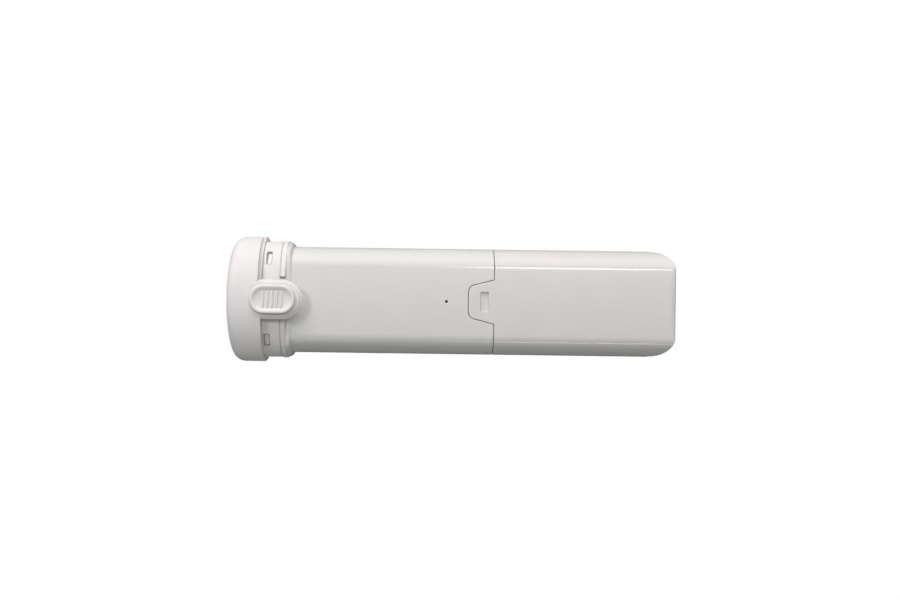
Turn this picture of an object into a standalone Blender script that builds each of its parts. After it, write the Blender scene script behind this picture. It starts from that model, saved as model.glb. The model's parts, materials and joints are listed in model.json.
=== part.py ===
"""Battery light tube: a flattened white tube with a turning end cap, a sliding lock and a battery cover.

The tube lies along X with its front face up. The end cap is at -X and the battery cover at +X.
Lengths are in millimetres. The mesh helpers turn them into metres. Heights in the constants are
measured from the tube's axis, which lies AXIS_Z above the surface that the lamp rests on.
"""

import math

import bmesh
import bpy
from mathutils import Matrix, Vector

MM = 0.001

# Driving dimensions
LENGTH = 206.8
HEAD_X = -LENGTH / 2
TAIL_X = LENGTH / 2
WALL = 2.0
GAP = 0.3

BODY_R = 25.0
BODY_H = 17.7
BODY_FILLET = 8.0
BACK_FILLET = 2.0

CAP_R = 29.5
CAP_H = 24.6
CAP_DOME = 2.3
CAP_BACK_FILLET = 4.0
CAP_WALL = 2.2
CAP_EDGE_X = -87.75
AXIS_Z = BODY_H
BACK_H = BODY_H

COLLAR_R = 27.3
COLLAR_H = 19.9
COLLAR_DOME = 2.5
COLLAR_X = CAP_EDGE_X + 0.4
GROOVE_X = -79.7
RIM_X = -77.0
RIM_R = 27.6
RIM_H = 20.0
WEB_BACK_X = COLLAR_X + 5.0
SPIGOT_END_X = RIM_X + 7.0

JOINT_X = 19.1
COVER_X = JOINT_X + GAP
INNER_R = BODY_R - WALL
INNER_H = BODY_H - WALL
INNER_FILLET = BODY_FILLET - WALL

TWIST_DEG = -12.0

# Points in each quarter of a tube section
SIDE_STEPS = 7
FILLET_STEPS = 3


# Scene and object helpers


def clear_scene():
    for obj in list(bpy.data.objects):
        bpy.data.objects.remove(obj, do_unlink=True)


def new_collection(name):
    collection = bpy.data.collections.new(name)
    bpy.context.scene.collection.children.link(collection)
    return collection


def plastic(name, colour, roughness, metallic=0.0):
    material = bpy.data.materials.new(name)
    material.use_nodes = True
    shader = material.node_tree.nodes["Principled BSDF"]
    shader.inputs["Base Color"].default_value = (*colour, 1.0)
    shader.inputs["Roughness"].default_value = roughness
    shader.inputs["Metallic"].default_value = metallic
    return material


def add_object(name, mesh, material):
    obj = bpy.data.objects.new(name, mesh)
    PARTS.objects.link(obj)
    if material:
        mesh.materials.clear()
        mesh.materials.append(material)
    return obj


def mesh_from_bmesh(name, bm):
    bmesh.ops.recalc_face_normals(bm, faces=bm.faces)
    bmesh.ops.scale(bm, vec=(MM, MM, MM), verts=bm.verts)
    mesh = bpy.data.meshes.new(name)
    bm.to_mesh(mesh)
    bm.free()
    return mesh


def baked(obj):
    """The object with its modifiers, or its curve, made into a plain mesh in world space."""
    bpy.context.view_layer.update()
    graph = bpy.context.evaluated_depsgraph_get()
    mesh = bpy.data.meshes.new_from_object(obj.evaluated_get(graph))
    mesh.transform(obj.matrix_world)
    name = obj.name
    bpy.data.objects.remove(obj, do_unlink=True)
    bm = bmesh.new()
    bm.from_mesh(mesh)
    bmesh.ops.remove_doubles(bm, verts=bm.verts, dist=1e-6)
    bmesh.ops.recalc_face_normals(bm, faces=bm.faces)
    bm.to_mesh(mesh)
    bm.free()
    return add_object(name, mesh, None)


def smooth(obj, degrees=32.0):
    obj.data.shade_smooth()
    obj.data.set_sharp_from_angle(angle=math.radians(degrees))
    return obj


def at_axis(x, y, z):
    """A point given from the tube's axis, as a point over the resting surface."""
    return Vector((x, y, z + AXIS_Z))


# Solids


def skin(name, rings, material, looped=False):
    """A solid through rings of equal point count, with filled ends unless the last ring meets the first."""
    bm = bmesh.new()
    rows = [[bm.verts.new(at_axis(*point)) for point in ring] for ring in rings]
    pairs = list(zip(rows, rows[1:]))
    if looped:
        pairs.append((rows[-1], rows[0]))
    else:
        bm.faces.new(rows[0])
        bm.faces.new(rows[-1])
    count = len(rows[0])
    for low, high in pairs:
        for i in range(count):
            j = (i + 1) % count
            bm.faces.new((low[i], low[j], high[j], high[i]))
    return smooth(add_object(name, mesh_from_bmesh(name, bm), material))


def box(name, low, high, material=None, bevel=0.0):
    bm = bmesh.new()
    low, high = Vector(low), Vector(high)
    bmesh.ops.create_cube(bm, size=1.0)
    bmesh.ops.scale(bm, vec=high - low, verts=bm.verts)
    bmesh.ops.translate(bm, vec=at_axis(*((low + high) / 2)), verts=bm.verts)
    if bevel:
        bmesh.ops.bevel(bm, geom=bm.edges, offset=bevel, segments=2, affect="EDGES", profile=0.5)
    return add_object(name, mesh_from_bmesh(name, bm), material)


def rod(name, start, end, radius, material=None, sides=20, end_radius=None):
    """A cylinder or cone between two points on its axis."""
    bm = bmesh.new()
    start, end = Vector(start), Vector(end)
    span = end - start
    bmesh.ops.create_cone(
        bm,
        cap_ends=True,
        segments=sides,
        radius1=radius,
        radius2=radius if end_radius is None else end_radius,
        depth=span.length,
    )
    turn = span.to_track_quat("Z", "Y").to_matrix().to_4x4()
    place = Matrix.Translation(at_axis(*((start + end) / 2)))
    bmesh.ops.transform(bm, matrix=place @ turn, verts=bm.verts)
    return smooth(add_object(name, mesh_from_bmesh(name, bm), material))


def turned(name, profile, centre, material, steps=24):
    """A solid turned about an axis along X, from (x, radius) points; a repeated end point closes it."""
    closed = profile[0] == profile[-1]
    points = profile[:-1] if closed else [(profile[0][0], 0.0), *profile, (profile[-1][0], 0.0)]
    edges = [(i, i + 1) for i in range(len(points) - 1)]
    if closed:
        edges.append((len(points) - 1, 0))
    outline = bpy.data.meshes.new(name)
    outline.from_pydata([(radius * MM, 0.0, x * MM) for x, radius in points], edges, [])
    obj = add_object(name, outline, None)
    spin = obj.modifiers.new("turn", "SCREW")
    spin.steps = steps
    spin.render_steps = steps
    spin.use_merge_vertices = True
    spin.merge_threshold = 0.00001
    lay_down = Matrix(((0, 0, 1, 0), (1, 0, 0, 0), (0, 1, 0, 0), (0, 0, 0, 1)))
    obj.matrix_world = Matrix.Translation(at_axis(0, *centre) * MM) @ lay_down
    obj = baked(obj)
    obj.data.materials.clear()
    obj.data.materials.append(material)
    return smooth(obj)


def flat_solid(name, outline, low, high, material=None, normal="Z"):
    """A flat outline made solid from low to high along Z, or X or Y with points (y, z) or (x, z)."""
    curve = bpy.data.curves.new(name, "CURVE")
    curve.dimensions = "2D"
    curve.fill_mode = "BOTH"
    curve.extrude = (high - low) / 2 * MM
    spline = curve.splines.new("POLY")
    spline.points.add(len(outline) - 1)
    for point, (u, v) in zip(spline.points, outline):
        point.co = (u * MM, v * MM, 0.0, 1.0)
    spline.use_cyclic_u = True
    guide = bpy.data.objects.new(name, curve)
    PARTS.objects.link(guide)
    middle = (low + high) / 2
    if normal == "X":
        turn = Matrix(((0, 0, 1, 0), (1, 0, 0, 0), (0, 1, 0, 0), (0, 0, 0, 1)))
        guide.matrix_world = Matrix.Translation(at_axis(middle, 0, 0) * MM) @ turn
    elif normal == "Y":
        turn = Matrix(((1, 0, 0, 0), (0, 0, -1, 0), (0, 1, 0, 0), (0, 0, 0, 1)))
        guide.matrix_world = Matrix.Translation(at_axis(0, middle, 0) * MM) @ turn
    else:
        guide.matrix_world = Matrix.Translation(at_axis(0, 0, middle) * MM)
    obj = baked(guide)
    if material:
        obj.data.materials.append(material)
    return smooth(obj)


def combine(obj, other, operation):
    """Joins other to obj, or cuts it away, and removes other."""
    modifier = obj.modifiers.new(operation.lower(), "BOOLEAN")
    modifier.operation = operation
    modifier.object = other
    bpy.context.view_layer.update()
    graph = bpy.context.evaluated_depsgraph_get()
    mesh = bpy.data.meshes.new_from_object(obj.evaluated_get(graph))
    obj.modifiers.clear()
    obj.data = mesh
    bpy.data.objects.remove(other, do_unlink=True)
    return obj


def cut(obj, other):
    return combine(obj, other, "DIFFERENCE")


def join(obj, other):
    return combine(obj, other, "UNION")


def wire(name, points, radius, material):
    curve = bpy.data.curves.new(name, "CURVE")
    curve.dimensions = "3D"
    curve.bevel_depth = radius * MM
    curve.bevel_resolution = 1
    curve.use_fill_caps = True
    spline = curve.splines.new("POLY")
    route = smooth_route(points)
    spline.points.add(len(route) - 1)
    for point, place in zip(spline.points, route):
        point.co = (*(at_axis(*place) * MM), 1.0)
    curve.materials.append(material)
    obj = bpy.data.objects.new(name, curve)
    PARTS.objects.link(obj)
    return obj


def smooth_route(points, steps=3):
    """Points along a Catmull-Rom curve through the route's own points."""
    knots = [Vector(p) for p in points]
    knots = [2 * knots[0] - knots[1], *knots, 2 * knots[-1] - knots[-2]]
    route = []
    for a, b, c, d in zip(knots, knots[1:], knots[2:], knots[3:]):
        for k in range(steps):
            t = k / steps
            route.append(
                0.5
                * (
                    2 * b
                    + (c - a) * t
                    + (2 * a - 5 * b + 4 * c - d) * t * t
                    + (3 * b - a - 3 * c + d) * t**3
                )
            )
    return [*route, knots[-2]]


# Outlines


def soft_limit(value, limit, blend):
    """value held to within limit either way, with the corner eased over blend."""
    size = abs(value)
    near = max(blend - abs(size - limit), 0.0) / blend
    return math.copysign(min(size, limit) - near * near * blend / 4, value)


def quarter_section(radius, height, fillet):
    """A quarter of a circle with a flat at height and an eased corner, from the side to the flat's end."""
    centre_z = height - fillet
    centre_y = math.sqrt((radius - fillet) ** 2 - centre_z**2)
    meet = math.atan2(centre_z, centre_y)
    points = []
    for k in range(SIDE_STEPS):
        turn = meet * k / SIDE_STEPS
        points.append((radius * math.cos(turn), radius * math.sin(turn)))
    for k in range(FILLET_STEPS + 1):
        turn = meet + (math.pi / 2 - meet) * k / FILLET_STEPS
        points.append((centre_y + fillet * math.cos(turn), centre_z + fillet * math.sin(turn)))
    return points


def dome_section(radius, height, power):
    """A quarter of a superellipse, up to just short of its top, with as many points as quarter_section."""
    count = SIDE_STEPS + FILLET_STEPS + 1
    last = math.radians(87.0)
    points = []
    for k in range(count):
        turn = last * k / (count - 1)
        rise = (math.sin(turn) / math.sin(last)) ** (2 / power)
        points.append((radius * math.cos(turn) ** (2 / power), height * rise))
    return points


def tube_ring(
    x,
    radius,
    height,
    fillet,
    half_width=None,
    drop=0.0,
    blend=1.2,
    back=None,
    back_fillet=BACK_FILLET,
    dome=None,
):
    """The tube's section at x: round sides with a flat or domed front and a flat back.

    half_width holds it in from the sides and drop lowers its front and back.
    """
    back = back or height
    back_half = quarter_section(radius, back, back_fillet)
    front_half = dome_section(radius, height, dome) if dome else quarter_section(radius, height, fillet)
    outline = front_half + [(-y, z) for y, z in reversed(front_half[1:])]
    outline += [(-y, -z) for y, z in back_half] + [(y, -z) for y, z in reversed(back_half[1:])]
    if half_width:
        outline = [(soft_limit(y, half_width, blend), z) for y, z in outline]
    if drop:
        outline = [(y, soft_limit(z, (height if z > 0 else back) - drop, blend)) for y, z in outline]
    return [(x, y, z) for y, z in outline]


def end_drop(from_end, depth, rise):
    """How far a rounded end falls in at a distance from it, along a quarter of an ellipse."""
    if from_end >= depth:
        return 0.0
    return rise - rise * math.sqrt(1 - ((depth - from_end) / depth) ** 2)


def end_ring(x, from_end, radius, height, back, fillet, corner, edge, blend):
    """The section near a rounded end: a corner (depth, rise) in plan and an edge radius in side view."""
    side_drop = end_drop(from_end, *corner)
    half_width = radius - side_drop if side_drop else None
    return tube_ring(
        x, radius, height, fillet, half_width, end_drop(from_end, edge, edge), blend, back
    )


def rounded_ring(half_x, half_y, radius, z, centre_x=0.0, steps=5):
    """A rounded rectangle at height z."""
    ring = []
    for quarter, (sx, sy) in enumerate(((1, 1), (-1, 1), (-1, -1), (1, -1))):
        for k in range(steps + 1):
            turn = math.radians(90 * (quarter + k / steps))
            ring.append(
                (
                    centre_x + sx * (half_x - radius) + radius * math.cos(turn),
                    sy * (half_y - radius) + radius * math.sin(turn),
                    z,
                )
            )
    return ring


def stadium(low_x, high_x, half_width, steps=12):
    """A slot-shaped outline along X with round ends."""
    outline = []
    for centre, start in ((high_x - half_width, -90), (low_x + half_width, 90)):
        for k in range(steps + 1):
            turn = math.radians(start + 180 * k / steps)
            outline.append((centre + half_width * math.cos(turn), half_width * math.sin(turn)))
    return outline


TONGUE_TIP_X = 7.5
TONGUE_BASE_Y = 10.0
TONGUE_TIP_Y = 7.1
TONGUE_CORNER = 3.5


def tongue_outline(grow, root_x):
    """The battery cover's tongue in plan, grown all round by grow, with rounded corners at its tip."""
    slope = math.atan2(TONGUE_BASE_Y - TONGUE_TIP_Y, JOINT_X - TONGUE_TIP_X)
    tip_x = TONGUE_TIP_X - grow
    corner = TONGUE_CORNER + grow
    centre_x = TONGUE_TIP_X + TONGUE_CORNER
    reach = corner / math.cos(slope)
    side_y = TONGUE_TIP_Y + grow / math.cos(slope) + (centre_x - TONGUE_TIP_X) * math.tan(slope)
    centre_y = side_y - reach
    arc = []
    for k in range(7):
        turn = math.pi - (math.pi / 2 - slope) * k / 6
        arc.append((centre_x + corner * math.cos(turn), centre_y + corner * math.sin(turn)))
    root_y = side_y + (root_x - centre_x) * math.tan(slope)
    upper = [*arc, (root_x, root_y)]
    assert arc[0][0] - tip_x < 0.01
    return upper + [(x, -y) for x, y in reversed(upper)]


# Head: collar, end cap and lock


def make_collar():
    def outer(x, radius, height, inset=0.0):
        return tube_ring(
            x, radius - inset, height - inset, 0.0, back=BACK_H - inset, dome=COLLAR_DOME
        )

    rings = [
        outer(COLLAR_X, COLLAR_R, COLLAR_H, 0.4),
        outer(COLLAR_X + 0.4, COLLAR_R, COLLAR_H),
        outer(GROOVE_X, COLLAR_R, COLLAR_H),
        outer(GROOVE_X + 0.1, COLLAR_R, COLLAR_H, 0.6),
        outer(GROOVE_X + 0.5, COLLAR_R, COLLAR_H, 0.6),
        outer(GROOVE_X + 0.6, RIM_R, RIM_H),
        outer(RIM_X - 0.4, RIM_R, RIM_H),
        outer(RIM_X, RIM_R, RIM_H, 0.4),
        tube_ring(RIM_X, INNER_R - GAP, INNER_H - GAP, INNER_FILLET),
        tube_ring(SPIGOT_END_X, INNER_R - GAP, INNER_H - GAP, INNER_FILLET),
        tube_ring(SPIGOT_END_X, INNER_R - WALL, INNER_H - WALL, INNER_FILLET),
        tube_ring(WEB_BACK_X, INNER_R - WALL, INNER_H - WALL, INNER_FILLET),
    ]
    collar = skin("collar", rings, MATTE_WHITE)
    cut(collar, box("rim_gap", (GROOVE_X + 0.3, -8.0, 18.4), (RIM_X + 1, 10.6, 24)))
    for side, low_x, high_x in ((1, -86.3, -83.6), (-1, COLLAR_X - 1, -84.8)):
        window = box("window", (low_x, -3.55, -1.2), (high_x, 3.55, 4.0))
        about_axis(window, math.radians(-31.4 * side), (0, side * 19.15, 15.7))
        cut(collar, window)
    cut(collar, rod("bore", (COLLAR_X - 1, 0, 0), (WEB_BACK_X + 1, 0, 0), SHAFT_R + GAP))
    cut(collar, rod("seal_seat", (COLLAR_X - 1, 0, 0), (COLLAR_X + 2.2, 0, 0), 6.5))
    for degrees in (0.0, TWIST_DEG):
        pocket = box("lock_pocket", (COLLAR_X - 1, -1.25, 15.2), (COLLAR_X + 3.2, 1.25, 18.8))
        about_axis(pocket, math.radians(degrees))
        cut(collar, pocket)
    for side in (-1, 1):
        y = side * CHASSIS_SCREW_Y
        cut(collar, rod("screw_hole", (WEB_BACK_X - 4, y, 0), (WEB_BACK_X + 1, y, 0), 1.2, sides=16))
    return collar


def about_axis(obj, turn, shift=(0.0, 0.0, 0.0)):
    """Turns a mesh about the tube's axis, then shifts it."""
    centre = Matrix.Translation(Vector((0, 0, AXIS_Z * MM)))
    move = Matrix.Translation(Vector(shift) * MM)
    obj.data.transform(move @ centre @ Matrix.Rotation(turn, 4, "X") @ centre.inverted())


CAP_END_DEPTH = 7.0
CAP_EDGE_DEPTH = 4.0
CAP_EDGE_RISE = 2.0
FLANGE_R = 24.0
FLANGE_H = 17.0
FLANGE_BACK_H = 12.0
FLANGE_T = 1.5
PAD_LOW_X = -92.7
PAD_HIGH_X = -71.8
PAD_HALF_Y = 6.6
TAB_START_X = -95.3
TAB_END_X = -68.8
TAB_HALF_Y = 9.0
TAB_UNDER_Z = 22.6


def cap_ring(x, inset):
    """The end cap's section at x, inset from its outside: it narrows to a rounded end."""
    from_end = max(x - HEAD_X - inset, 0.06)
    depth = max(1 - from_end / (CAP_END_DEPTH - inset), 0.0)
    across = (1 - depth**2.4) ** (1 / 8)
    along = 1 - end_drop(from_end, CAP_EDGE_DEPTH, CAP_EDGE_RISE) / CAP_H
    ring = cap_edge_ring(x, inset)
    return [(x, y * across, z * along) for x, y, z in ring]


def cap_edge_ring(x, inset):
    radius, height = CAP_R - inset, CAP_H - inset
    return tube_ring(
        x, radius, height, 0.0, back=BACK_H - inset, back_fillet=CAP_BACK_FILLET, dome=CAP_DOME
    )


def make_end_cap():
    stations = [0.0, 0.12, 0.35, 0.8, 1.5, 2.6, 4.2, 7.0, 15.2]
    rings = [cap_ring(HEAD_X + s, 0.0) for s in stations]
    rings.append(cap_edge_ring(CAP_EDGE_X, 0.4))
    rings += [
        tube_ring(x, FLANGE_R, FLANGE_H, INNER_FILLET, back=FLANGE_BACK_H)
        for x in (CAP_EDGE_X, CAP_EDGE_X - FLANGE_T)
    ]
    rings.append(cap_edge_ring(CAP_EDGE_X - FLANGE_T, CAP_WALL))
    rings += [cap_ring(HEAD_X + CAP_WALL + s, CAP_WALL) for s in (4.8, 2.8, 1.5, 0.7, 0.2, 0.0)]
    cap = skin("end_cap", rings, MATTE_WHITE)
    tab = flat_solid("tab", stadium(TAB_START_X, TAB_END_X, TAB_HALF_Y), TAB_UNDER_Z, CAP_H - 0.02)
    for side in (-1, 1):
        wedge = [
            (side * 7.4, TAB_UNDER_Z - 0.1),
            (side * 9.4, TAB_UNDER_Z + 1.4),
            (side * 9.4, TAB_UNDER_Z - 0.1),
        ]
        cut(tab, flat_solid("tab_chamfer", wedge, CAP_EDGE_X, TAB_END_X + 1, normal="X"))
    join(cap, tab)
    cut(cap, box("slot", (-86.6, -2.0, TAB_UNDER_Z - 1), (-79.6, 2.0, CAP_H + 1)))
    cut(cap, box("bolt_slot", (CAP_EDGE_X - 2, -2.8, 15.2), (CAP_EDGE_X + 0.5, 2.8, TAB_UNDER_Z)))
    join(cap, rod("boss", (HEAD_X + 1.2, 0, 0), (-96.3, 0, 0), 6.0))
    cut(cap, rod("boss_hole", (-100.6, 0, 0), (-95, 0, 0), 1.5, sides=16))
    return cap


SHAFT_R = 4.0
ROTOR_X = -81.3


def make_rotor():
    """The shaft that the end cap turns on, with the disc that holds the magnet."""
    profile = [
        (-96.0, 1.5),
        (-96.0, SHAFT_R),
        (ROTOR_X, SHAFT_R),
        (ROTOR_X, 8.5),
        (-78.8, 8.5),
        (-78.8, 1.5),
        (-96.0, 1.5),
    ]
    rotor = turned("cap_rotor", profile, (0, 0), BLACK_PLASTIC)
    cut(rotor, rod("magnet_seat", (-80.4, 0, 5.8), (-78.0, 0, 5.8), 1.8, sides=20))
    rod("rotor_magnet", (-80.1, 0, 5.8), (-78.8, 0, 5.8), 1.5, STEEL, sides=20)
    screw_profile = [(-100.0, 0.6), (-99.5, 1.2), (-78.5, 1.2), (-78.5, 2.5), (-76.9, 2.2)]
    screw = turned("rotor_screw", screw_profile, (0, 0), STEEL, steps=16)
    cut(screw, rod("socket", (-77.8, 0, 0), (-76, 0, 0), 1.1, sides=6))
    washer = [(-82.05, 4.7), (-82.05, 7.8), (-81.6, 7.8), (-81.6, 4.7), (-82.05, 4.7)]
    turned("spring_washer", washer, (0, 0), STEEL)
    seal_turns = [math.tau * k / 8 for k in range(8)]
    seal = [(COLLAR_X + 1.1 + 0.8 * math.cos(t), 5.15 + 0.8 * math.sin(t)) for t in seal_turns]
    turned("shaft_seal", [*seal, seal[0]], (0, 0), RUBBER)


def make_lock():
    """The thumb pad on the tab, the bolt under it and the screw between them."""
    pad = flat_solid(
        "latch_pad", stadium(PAD_LOW_X, PAD_HIGH_X, PAD_HALF_Y), CAP_H + GAP, CAP_H + 2.1, MATTE_WHITE
    )
    edge = 1.5
    dish = stadium(PAD_LOW_X + edge, PAD_HIGH_X - edge, PAD_HALF_Y - edge)
    cut(pad, flat_solid("dish", dish, CAP_H + 1.2, CAP_H + 3))
    middle_x = (PAD_LOW_X + PAD_HIGH_X) / 2
    for k in range(5):
        x = middle_x + (k - 2) * 2.1
        join(pad, box("rib", (x - 0.45, -3.7, CAP_H + 0.8), (x + 0.45, 3.7, CAP_H + 1.85), bevel=0.2))
    join(pad, box("stem", (-86.2, -1.7, 22.4), (-83.2, 1.7, CAP_H + 1.0)))
    cut(pad, rod("screw_hole", (-84.7, 0, 22), (-84.7, 0, 24.8), 1.0, sides=16))
    bolt = box("latch_bolt", (-93.0, -2.5, 20.6), (-82.0, 2.5, 22.1), BLACK_PLASTIC)
    join(bolt, box("arm", (-93.0, -0.9, 15.6), (-90.5, 0.9, 21.0)))
    join(bolt, box("nose", (-92.0, -0.9, 15.6), (-88.1, 0.9, 18.4)))
    cut(bolt, rod("screw_hole", (-84.7, 0, 20), (-84.7, 0, 23), 1.0, sides=16))
    cut(bolt, rod("head_seat", (-84.7, 0, 20), (-84.7, 0, 21.5), 1.7, sides=16))
    screw = rod("latch_screw", (-84.7, 0, 20.7), (-84.7, 0, 21.2), 1.4, STEEL, sides=16)
    join(screw, rod("shank", (-84.7, 0, 21.0), (-84.7, 0, 24.4), 0.7, sides=12))


# Tube, light and electronics

PINHOLE_X = -2.75
BOSS_PLACES = [(x, y) for x in (-62.0, -1.0) for y in (-9.0, 9.0)]
BOARD_LOW_X = -68.0
BOARD_HIGH_X = 3.0
BOARD_TOP_Z = 11.7
BOARD_T = 1.6
CHASSIS_SCREW_Y = 12.5
CHASSIS_END_X = 13.5

LENS_MIDDLE_X = -33.2
LENS_HALF_X = 34.2
LENS_HALF_Y = 12.2


def make_tube():
    start = RIM_X + GAP
    rings = [
        tube_ring(start, BODY_R + 2.2, BODY_H + 0.5, BODY_FILLET, back=BACK_H),
        tube_ring(start + 0.8, BODY_R + 1.9, BODY_H + 0.4, BODY_FILLET, back=BACK_H),
        tube_ring(start + 1.6, BODY_R + 1.1, BODY_H + 0.2, BODY_FILLET, back=BACK_H),
        tube_ring(start + 2.3, BODY_R, BODY_H, BODY_FILLET),
        tube_ring(JOINT_X, BODY_R, BODY_H, BODY_FILLET),
        tube_ring(JOINT_X, INNER_R, INNER_H, INNER_FILLET),
        tube_ring(start, INNER_R, INNER_H, INNER_FILLET),
    ]
    tube = skin("tube_housing", rings, GLOSS_WHITE, looped=True)
    for x, y in BOSS_PLACES:
        join(tube, rod("boss", (x, y, BOARD_TOP_Z + GAP), (x, y, INNER_H + 0.6), 2.2, sides=16))
        cut(tube, rod("boss_hole", (x, y, BOARD_TOP_Z - 1), (x, y, INNER_H - 0.4), 0.9, sides=12))
    window = flat_solid(
        "lens_window",
        [
            (x, y)
            for x, y, z in rounded_ring(
                LENS_HALF_X + GAP, LENS_HALF_Y + GAP, 4.0 + GAP, 0.0, LENS_MIDDLE_X
            )
        ],
        -BODY_H - 2,
        -INNER_H + 2,
    )
    cut(tube, window)
    cut(tube, flat_solid("tongue_gap", tongue_outline(GAP, JOINT_X + 3), INNER_H - 2, BODY_H + 2))
    cut(tube, rod("pinhole", (PINHOLE_X, 0, INNER_H - 1), (PINHOLE_X, 0, BODY_H + 1), 0.65, sides=16))
    return tube


def make_lens():
    def ring(grow, z):
        radius = 4.0 + grow
        return rounded_ring(LENS_HALF_X + grow, LENS_HALF_Y + grow, radius, z, LENS_MIDDLE_X)

    crown = -BACK_H + 0.2
    outside = [ring(-0.6, crown), ring(-0.2, crown + 0.2), ring(0.0, crown + 0.6)]
    flange = [
        ring(0.0, -INNER_H + GAP),
        ring(1.8, -INNER_H + GAP),
        ring(1.8, -INNER_H + 1.5),
        ring(-1.6, -INNER_H + 1.5),
    ]
    inside = [ring(-1.6, crown + 1.6)]
    return skin("diffuser_lens", [*outside, *flange, *inside], OPAL)


def make_light():
    board = box("led_board", (-65.4, -9.5, -13.2), (-1.0, 9.5, -12.0), WHITE_BOARD)
    count = 8
    for k in range(count):
        x = LENS_MIDDLE_X + (k - (count - 1) / 2) * 7.2
        box(f"led_{k + 1}", (x - 1.75, -1.4, -14.2), (x + 1.75, 1.4, -13.5), LED_YELLOW)
    base = box("chassis", (-80.5, -13.5, -11.7), (CHASSIS_END_X, 13.5, -10.2), ALUMINIUM)
    for side in (-1, 1):
        low, high = sorted((side * 12.0, side * 13.5))
        join(base, box("flange", (-80.5, low, -10.9), (CHASSIS_END_X, high, -2.0)))
    tab = box("tab", (WEB_BACK_X + GAP, -15.5, -11.7), (WEB_BACK_X + GAP + 1.5, 15.5, 4.0))
    cut(tab, rod("rotor_room", (-84, 0, 0), (-79, 0, 0), 9.5, sides=28))
    join(base, tab)
    join(base, box("bridge", (WEB_BACK_X + 1.2, -13.5, -11.7), (-80.0, 13.5, -10.2)))
    for side in (-1, 1):
        y = side * CHASSIS_SCREW_Y
        cut(base, rod("screw_hole", (-84, y, 0), (-79, y, 0), 1.3, sides=16))
        screw = turned(
            f"chassis_screw_{1 if side < 0 else 2}",
            [(-85.5, 0.5), (-85.0, 0.95), (-80.2, 0.95), (-80.2, 2.0), (-79.2, 1.7)],
            (y, 0),
            STEEL,
            steps=14,
        )
        cut(screw, rod("socket", (-79.8, y, 0), (-78, y, 0), 0.9, sides=6))
    for k, x in enumerate((-62.3, -4.1)):
        cut(board, rod("screw_hole", (x, 0, -14), (x, 0, -11), 1.1, sides=16))
        cut(base, rod("screw_hole", (x, 0, -12), (x, 0, -9), 1.1, sides=16))
        screw = rod(f"led_board_screw_{k + 1}", (x, 0, -14.4), (x, 0, -13.5), 1.7, STEEL, sides=16)
        join(screw, rod("shank", (x, 0, -13.9), (x, 0, -9.5), 0.8, sides=12))
    return base


def make_driver():
    bottom = BOARD_TOP_Z - BOARD_T
    low, high = (BOARD_LOW_X, -11.5, bottom), (BOARD_HIGH_X, 11.5, BOARD_TOP_Z)
    board = box("driver_board", low, high, GREEN_BOARD)
    for k, (x, y) in enumerate(BOSS_PLACES):
        cut(board, rod("screw_hole", (x, y, bottom - 1), (x, y, BOARD_TOP_Z + 1), 1.1, sides=16))
        head, seat = (x, y, bottom - 1.4), (x, y, bottom - GAP)
        screw = rod(f"board_screw_{k + 1}", head, seat, 1.8, STEEL, sides=16)
        join(screw, rod("shank", (x, y, bottom - 0.7), (x, y, 15.0), 0.6, sides=10))
    under = bottom - GAP
    coil = rod("driver_coil", (-48, 0, under), (-48, 0, under - 5.5), 5.5, BLACK_PLASTIC, sides=28)
    join(coil, rod("core", (-48, 0, under - 5.2), (-48, 0, under - 6.2), 4.2, sides=24))
    for k, x in enumerate((-36.0, -24.0)):
        can = rod(f"capacitor_{k + 1}", (x, 3.0, under), (x, 3.0, under - 9.5), 4.0, ALUMINIUM, sides=20)
        join(can, rod("crimp", (x, 3.0, under - 9.2), (x, 3.0, under - 10.0), 3.6, sides=20))
    box("driver_chip", (-17.0, -2.5, under - 1.5), (-10.5, 2.5, under), BLACK_PLASTIC, bevel=0.2)
    box("hall_sensor", (-66.8, -2.0, BOARD_TOP_Z + GAP), (-63.6, 2.0, BOARD_TOP_Z + 1.7), BLACK_PLASTIC)
    switch = box(
        "reset_switch",
        (PINHOLE_X - 2.6, -2.6, BOARD_TOP_Z + GAP),
        (PINHOLE_X + 2.6, 2.6, BOARD_TOP_Z + 2.6),
        STEEL,
        bevel=0.2,
    )
    cut(switch, rod("well", (PINHOLE_X, 0, BOARD_TOP_Z + 1.0), (PINHOLE_X, 0, 16), 1.3, sides=16))
    foot, tip = (PINHOLE_X, 0, BOARD_TOP_Z + 1.9), (PINHOLE_X, 0, 15.4)
    rod("reset_plunger", foot, tip, 1.0, BLACK_PLASTIC, sides=16)


# Battery bay

TRAY_LOW_X = 16.6
TRAY_HIGH_X = 96.6
CELL_Y = 9.5
TRAY_SCREW_X = 9.6
CELL_LOW_X = 23.8
CELL_HIGH_X = 88.3


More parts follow.
